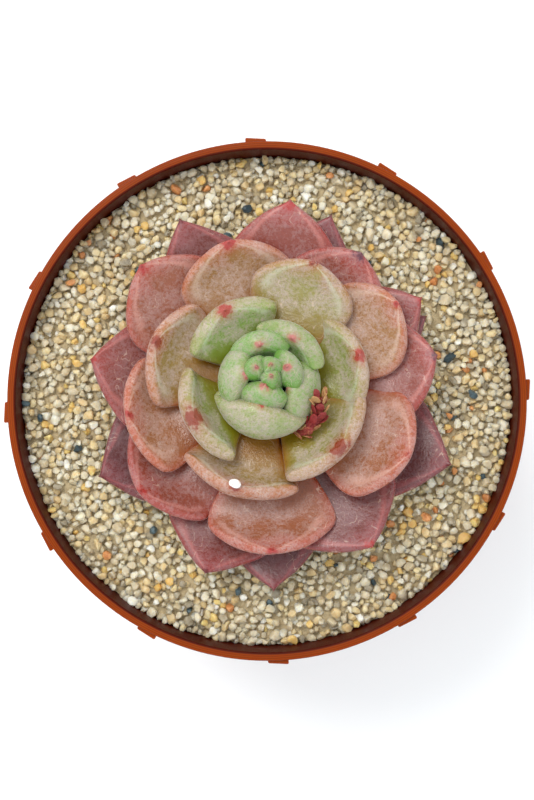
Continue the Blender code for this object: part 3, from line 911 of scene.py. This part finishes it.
def leaf_skin(name, age, tip, mark, mark_colour):
    """Waxy skin: glossy where the bloom is rubbed off, powdery above, with a painted highlight where the edge
    turns over, and pale streaks that are partly scratches and partly painted highlight.
    """
    paint = Paint(
        name, Subsurface_Weight=0.20, Subsurface_Radius=(1.0, 0.5, 0.22), Subsurface_Scale=0.0014,
        Sheen_Weight=0.30, Sheen_Roughness=0.25, Specular_IOR_Level=0.55,
    )
    face = paint.value("face")
    broad = paint.noise(230.0, 3.0, 0.55)
    fine = paint.noise(1300.0, 4.0, 0.65)
    powder = paint.noise(3400.0, 2.0, 0.7)
    wander = paint.product(paint.maths("SUBTRACT", broad, 0.5), 0.34)
    reach = paint.maths("ADD", paint.value("along"), wander)
    level = paint.maths("ABSOLUTE", paint.maths("SUBTRACT", face, paint.product(wander, 0.8)))
    flesh = leaf_flesh(paint, age, reach, level, face, fine)
    dusted = bloom_cover(paint, age, reach, broad, fine, powder)
    skin = paint.mix(dusted, flesh, at_age(BLOOM, age))
    # Painted highlight along the line where the leaf's edge turns over
    off_edge = paint.maths("ABSOLUTE", paint.maths("SUBTRACT", level, TURNED_EDGE))
    edge = paint.product(
        paint.ramp(off_edge, *TURNED_EDGE_WIDTH),
        paint.ramp(face, 0.0, 0.2),
        paint.ramp(reach, *TURNED_EDGE_STARTS),
    )
    skin = paint.mix(edge, skin, at_age(TURNED_EDGE_HIGHLIGHT, age))
    freckle = paint.product(paint.ramp(paint.noise(2200.0, 2.0, 0.5), *FRECKLES), 0.30)
    skin = paint.mix(freckle, skin, shown(78, 44, 34))
    # Pale streaks, partly scratches and partly painted highlight
    line = paint.maths("ABSOLUTE", paint.maths("SUBTRACT", paint.noise(420.0, 1.0, 0.4), 0.5))
    scratch_and_glint = paint.product(paint.ramp(line, *SCRATCH_AND_GLINT_WIDTH), paint.ramp(broad, *SCRATCH_AND_GLINT_COVER))
    skin = paint.mix(scratch_and_glint, skin, shown(214, 190, 172))
    paint.colour(marked_point(paint, skin, age, tip, mark, mark_colour, fine))
    paint.roughness(paint.ramp(dusted, 0.05, 0.6, 0.22, 0.46))
    paint.bump(paint.maths("ADD", paint.product(fine, 0.7), paint.product(powder, 0.30)), 0.00014)
    return paint


def leaf_age(order):
    """From 0 for the heart leaf to 1 for the outermost."""
    return order / (len(LEAVES) - 1)


def leaf_point(order):
    """The place of a leaf's point."""
    turn, reach = LEAVES[order][:2]
    tip = leaf_tip(leaf_age(order), turn, reach)
    return from_stem(turn, Vector((tip.x, 0.0, tip.y)))


def slot_of(order):
    if order < GREEN_LEAVES:
        return "leaf_green"
    return "leaf_blush" if order < BLUSHED_LEAVES else "leaf_rose"


for order, row in enumerate(LEAVES):
    name = f"leaf_{order + 1:02d}"
    radius, colour = MARKS[order]
    looks = min(1.0, leaf_age(order) + RIPER.get(order + 1, 0.0))
    point = leaf_point(order)
    skin = leaf_skin(f"skin_{order + 1:02d}", looks, point, radius / 1000, MARK_COLOURS[colour])
    leaf = grown_leaf(leaf_age(order), order, *row)
    set_in_place(f"rosette_{name}", leaf, skin, slot_of(order), name, sharp=75.0)

# ---------------------------------------------------------------------------------------------------
# A young flower stalk that dried up before it opened: a shrivelled club on a thin foot, bent round the
# inner leaves, red to straw-coloured, with small papery scales round its upper half.

# Its route from the stem, in mm above the grit's crown
STALK_ROUTE = (
    (2.4, 0.6, 14.4),
    (3.2, -1.0, 15.6),
    (4.3, -3.0, 16.8),
    (5.4, -5.4, 18.0),
    (7.4, -5.6, 19.0),
    (9.4, -3.6, 20.0),
    (10.2, -1.2, 21.2),
    (9.9, 0.8, 22.6),
)
STALK_RADIUS = 0.0011
STALK_FOOT_SHARE = 0.45
STALK_SWELL = (0.30, 0.60)
STALK_WRINKLES = 7
WRINKLE_TWIST = 6.0
WRINKLE_DEPTH = 0.00018
WRINKLE_GRAIN = 1500.0
STALK_SIDES = 28
STALK_RINGS = 64
STALK_STEP = 0.001
SCALE_COUNT = 26
SCALES_FROM = 0.46
SCALE_SIZE = (0.00080, 0.00020, 0.00115)
SCALE_LEAN = 0.45
SCALE_SEAT = 0.95
SCALE_CRUMPLE = 0.00012
CRUMPLE_GRAIN = 2500.0
SCALE_TURN = math.radians(137.5)
dry = random.Random(5)


def spline_point(points, part):
    """A point on the smooth curve through the points, by its share along it."""
    place = part * (len(points) - 1)
    index = min(int(place), len(points) - 2)
    start, end = points[index], points[index + 1]
    before = points[max(index - 1, 0)]
    after = points[min(index + 2, len(points) - 1)]
    rest = place - index
    return 0.5 * (
        2 * start + (end - before) * rest + (2 * before - 5 * start + 4 * end - after) * rest**2
        + (3 * start - before - 3 * end + after) * rest**3
    )


def stalk_frame(part):
    """The stalk's centre, its way along, and two directions across it, by the share along it."""
    points = [Vector(point) / 1000 + Vector((0.0, 0.0, GROUND)) for point in STALK_ROUTE]
    part = min(1 - STALK_STEP, max(STALK_STEP, part))
    way = (spline_point(points, part + STALK_STEP) - spline_point(points, part - STALK_STEP)).normalized()
    side = Vector((0, 0, 1)).cross(way).normalized()
    return spline_point(points, part), way, side, way.cross(side)


def stalk_radius(part):
    return STALK_RADIUS * blend(STALK_FOOT_SHARE, 1.0, share(part, *STALK_SWELL))


def dried_stalk():
    bm = bmesh.new()
    lot = bm.verts.layers.float.new("lot")
    bmesh.ops.create_uvsphere(bm, u_segments=STALK_SIDES, v_segments=STALK_RINGS, radius=1.0)
    for vert in bm.verts:
        part = (1 + vert.co.z) / 2
        centre, way, side, top = stalk_frame(part)
        angle = math.atan2(vert.co.y, vert.co.x)
        wrinkle = math.sin(STALK_WRINKLES * angle + WRINKLE_TWIST * part) * share(part, 0.0, 0.3)
        wrinkle += noise.noise(centre * WRINKLE_GRAIN)
        radius = Vector(vert.co.xy).length * (stalk_radius(part) + WRINKLE_DEPTH * wrinkle)
        vert.co = centre + radius * (math.cos(angle) * side + math.sin(angle) * top)
        vert[lot] = 0.5
    for index in range(SCALE_COUNT):
        part = blend(SCALES_FROM, 0.99, index / (SCALE_COUNT - 1))
        centre, way, side, top = stalk_frame(part)
        angle = index * SCALE_TURN
        out = math.cos(angle) * side + math.sin(angle) * top
        lean = (way + SCALE_LEAN * dry.uniform(0.6, 1.4) * out).normalized()
        across = out.cross(lean).normalized()
        back = lean.cross(across)
        turn = Matrix((across, back, lean)).transposed().to_4x4()
        size = Matrix.Diagonal((*[extent * dry.uniform(0.8, 1.25) for extent in SCALE_SIZE], 1.0))
        place = centre + SCALE_SEAT * stalk_radius(part) * out + 0.6 * SCALE_SIZE[2] * lean
        made = bmesh.ops.create_uvsphere(
            bm, u_segments=12, v_segments=8, radius=1.0, matrix=Matrix.Translation(place) @ turn @ size,
        )
        shade = dry.random()
        for vert in made["verts"]:
            vert.co += SCALE_CRUMPLE * noise.noise(vert.co * CRUMPLE_GRAIN) * back
            vert[lot] = shade
    return bm


def withered():
    paint = Paint(
        "withered_stalk", Roughness=0.5, Subsurface_Weight=0.15, Subsurface_Radius=(1.0, 0.4, 0.2),
        Subsurface_Scale=0.0006,
    )
    streak = paint.noise(1700.0, 4.0, 0.7)
    red = paint.mix(streak, shown(84, 14, 16), shown(172, 52, 50))
    straw = paint.mix(streak, shown(150, 96, 48), shown(206, 164, 112))
    shade = paint.maths("ADD", paint.value("lot"), paint.maths("SUBTRACT", streak, 0.5))
    paint.colour(paint.mix(paint.ramp(shade, 0.50, 0.78), red, straw))
    paint.bump(streak, 0.0003)
    return paint


set_in_place("dried_flower_stalk", dried_stalk(), withered(), "withered_stalk", "flower_stalk", sharp=50.0)

# ---------------------------------------------------------------------------------------------------
# A bead of sap has dried hard and white at the point of one middle leaf. It is under 3 mm long and
# sits on the skin, a little above the leaf's own point.

BEAD_LEAF = 16
BEAD_SIZE = (0.00085, 0.00120, 0.00080)
BEAD_SEAT = Vector((0.0, 0.0006, 0.0006))
BEAD_DENTS = 0.00012
DENT_GRAIN = 900.0


def dried_bead():
    place = Matrix.Translation(leaf_point(BEAD_LEAF) + BEAD_SEAT)
    turn = Matrix.Rotation(math.radians(LEAVES[BEAD_LEAF][0]), 4, "Z")
    size = Matrix.Diagonal((*BEAD_SIZE, 1.0))
    bm = bmesh.new()
    bmesh.ops.create_uvsphere(bm, u_segments=32, v_segments=20, radius=1.0, matrix=place @ turn @ size)
    bm.normal_update()
    for vert in bm.verts:
        vert.co += BEAD_DENTS * noise.noise(vert.co * DENT_GRAIN) * vert.normal
    return bm


def dried_sap():
    paint = Paint(
        "dried_sap", Roughness=0.25, Subsurface_Weight=0.6, Subsurface_Radius=(1.0, 0.95, 0.9),
        Subsurface_Scale=0.0008,
    )
    cloud = paint.noise(1400.0, 3.0)
    paint.colour(paint.mix(paint.ramp(cloud, 0.45, 0.75), shown(250, 248, 244), shown(214, 178, 168)))
    paint.bump(cloud, 0.0001)
    return paint


set_in_place("sap_bead", dried_bead(), dried_sap(), "leaf_blush")

# ---------------------------------------------------------------------------------------------------
# The stage: a plain white floor, a large soft lamp overhead to the back left, and a pale sky. The
# camera looks straight down.

FLOOR_SIZE = 3.0
LAMP_PLACE = Vector((-0.30, 0.42, 1.05))
LAMP_SIZE = 0.50
LAMP_WATTS = 6.8
SKY_STRENGTH = 1.15
CAMERA_HEIGHT = 0.400
CAMERA_SIDE = 0.0002
VIEW_HEIGHT = 0.1615
SENSOR = 36.0


bm = bmesh.new()
bmesh.ops.create_grid(bm, x_segments=1, y_segments=1, size=FLOOR_SIZE / 2)
mesh = bpy.data.meshes.new("floor")
bm.to_mesh(mesh)
bm.free()
floor_paint = Paint("floor_paint", Roughness=0.7)
floor_paint.colour(shown(252, 254, 254))
mesh.materials.append(floor_paint.made)
floor = bpy.data.objects.new("floor", mesh)
bpy.context.scene.collection.objects.link(floor)

light = bpy.data.lights.new("key", "AREA")
light.shape = "DISK"
light.size = LAMP_SIZE
light.energy = LAMP_WATTS
light.color = (1.0, 0.98, 0.95)
lamp = bpy.data.objects.new("key", light)
lamp.location = LAMP_PLACE
lamp.rotation_euler = (Vector((0, 0, pot_high.z)) - LAMP_PLACE).to_track_quat("-Z", "Y").to_euler()
bpy.context.scene.collection.objects.link(lamp)

world = bpy.data.worlds.new("sky")
world.use_nodes = True
sky = world.node_tree.nodes["Background"]
sky.inputs["Color"].default_value = (0.93, 0.97, 1.0, 1.0)
sky.inputs["Strength"].default_value = SKY_STRENGTH
bpy.context.scene.world = world
bpy.context.scene.view_settings.view_transform = "Standard"

camera = bpy.data.cameras.new("camera")
camera.sensor_width = SENSOR
camera.lens = SENSOR * CAMERA_HEIGHT / VIEW_HEIGHT
camera.clip_start = 0.01
viewer = bpy.data.objects.new("camera", camera)
viewer.location = (0.0, CAMERA_SIDE, pot_high.z + CAMERA_HEIGHT)
bpy.context.scene.collection.objects.link(viewer)
bpy.context.scene.camera = viewer
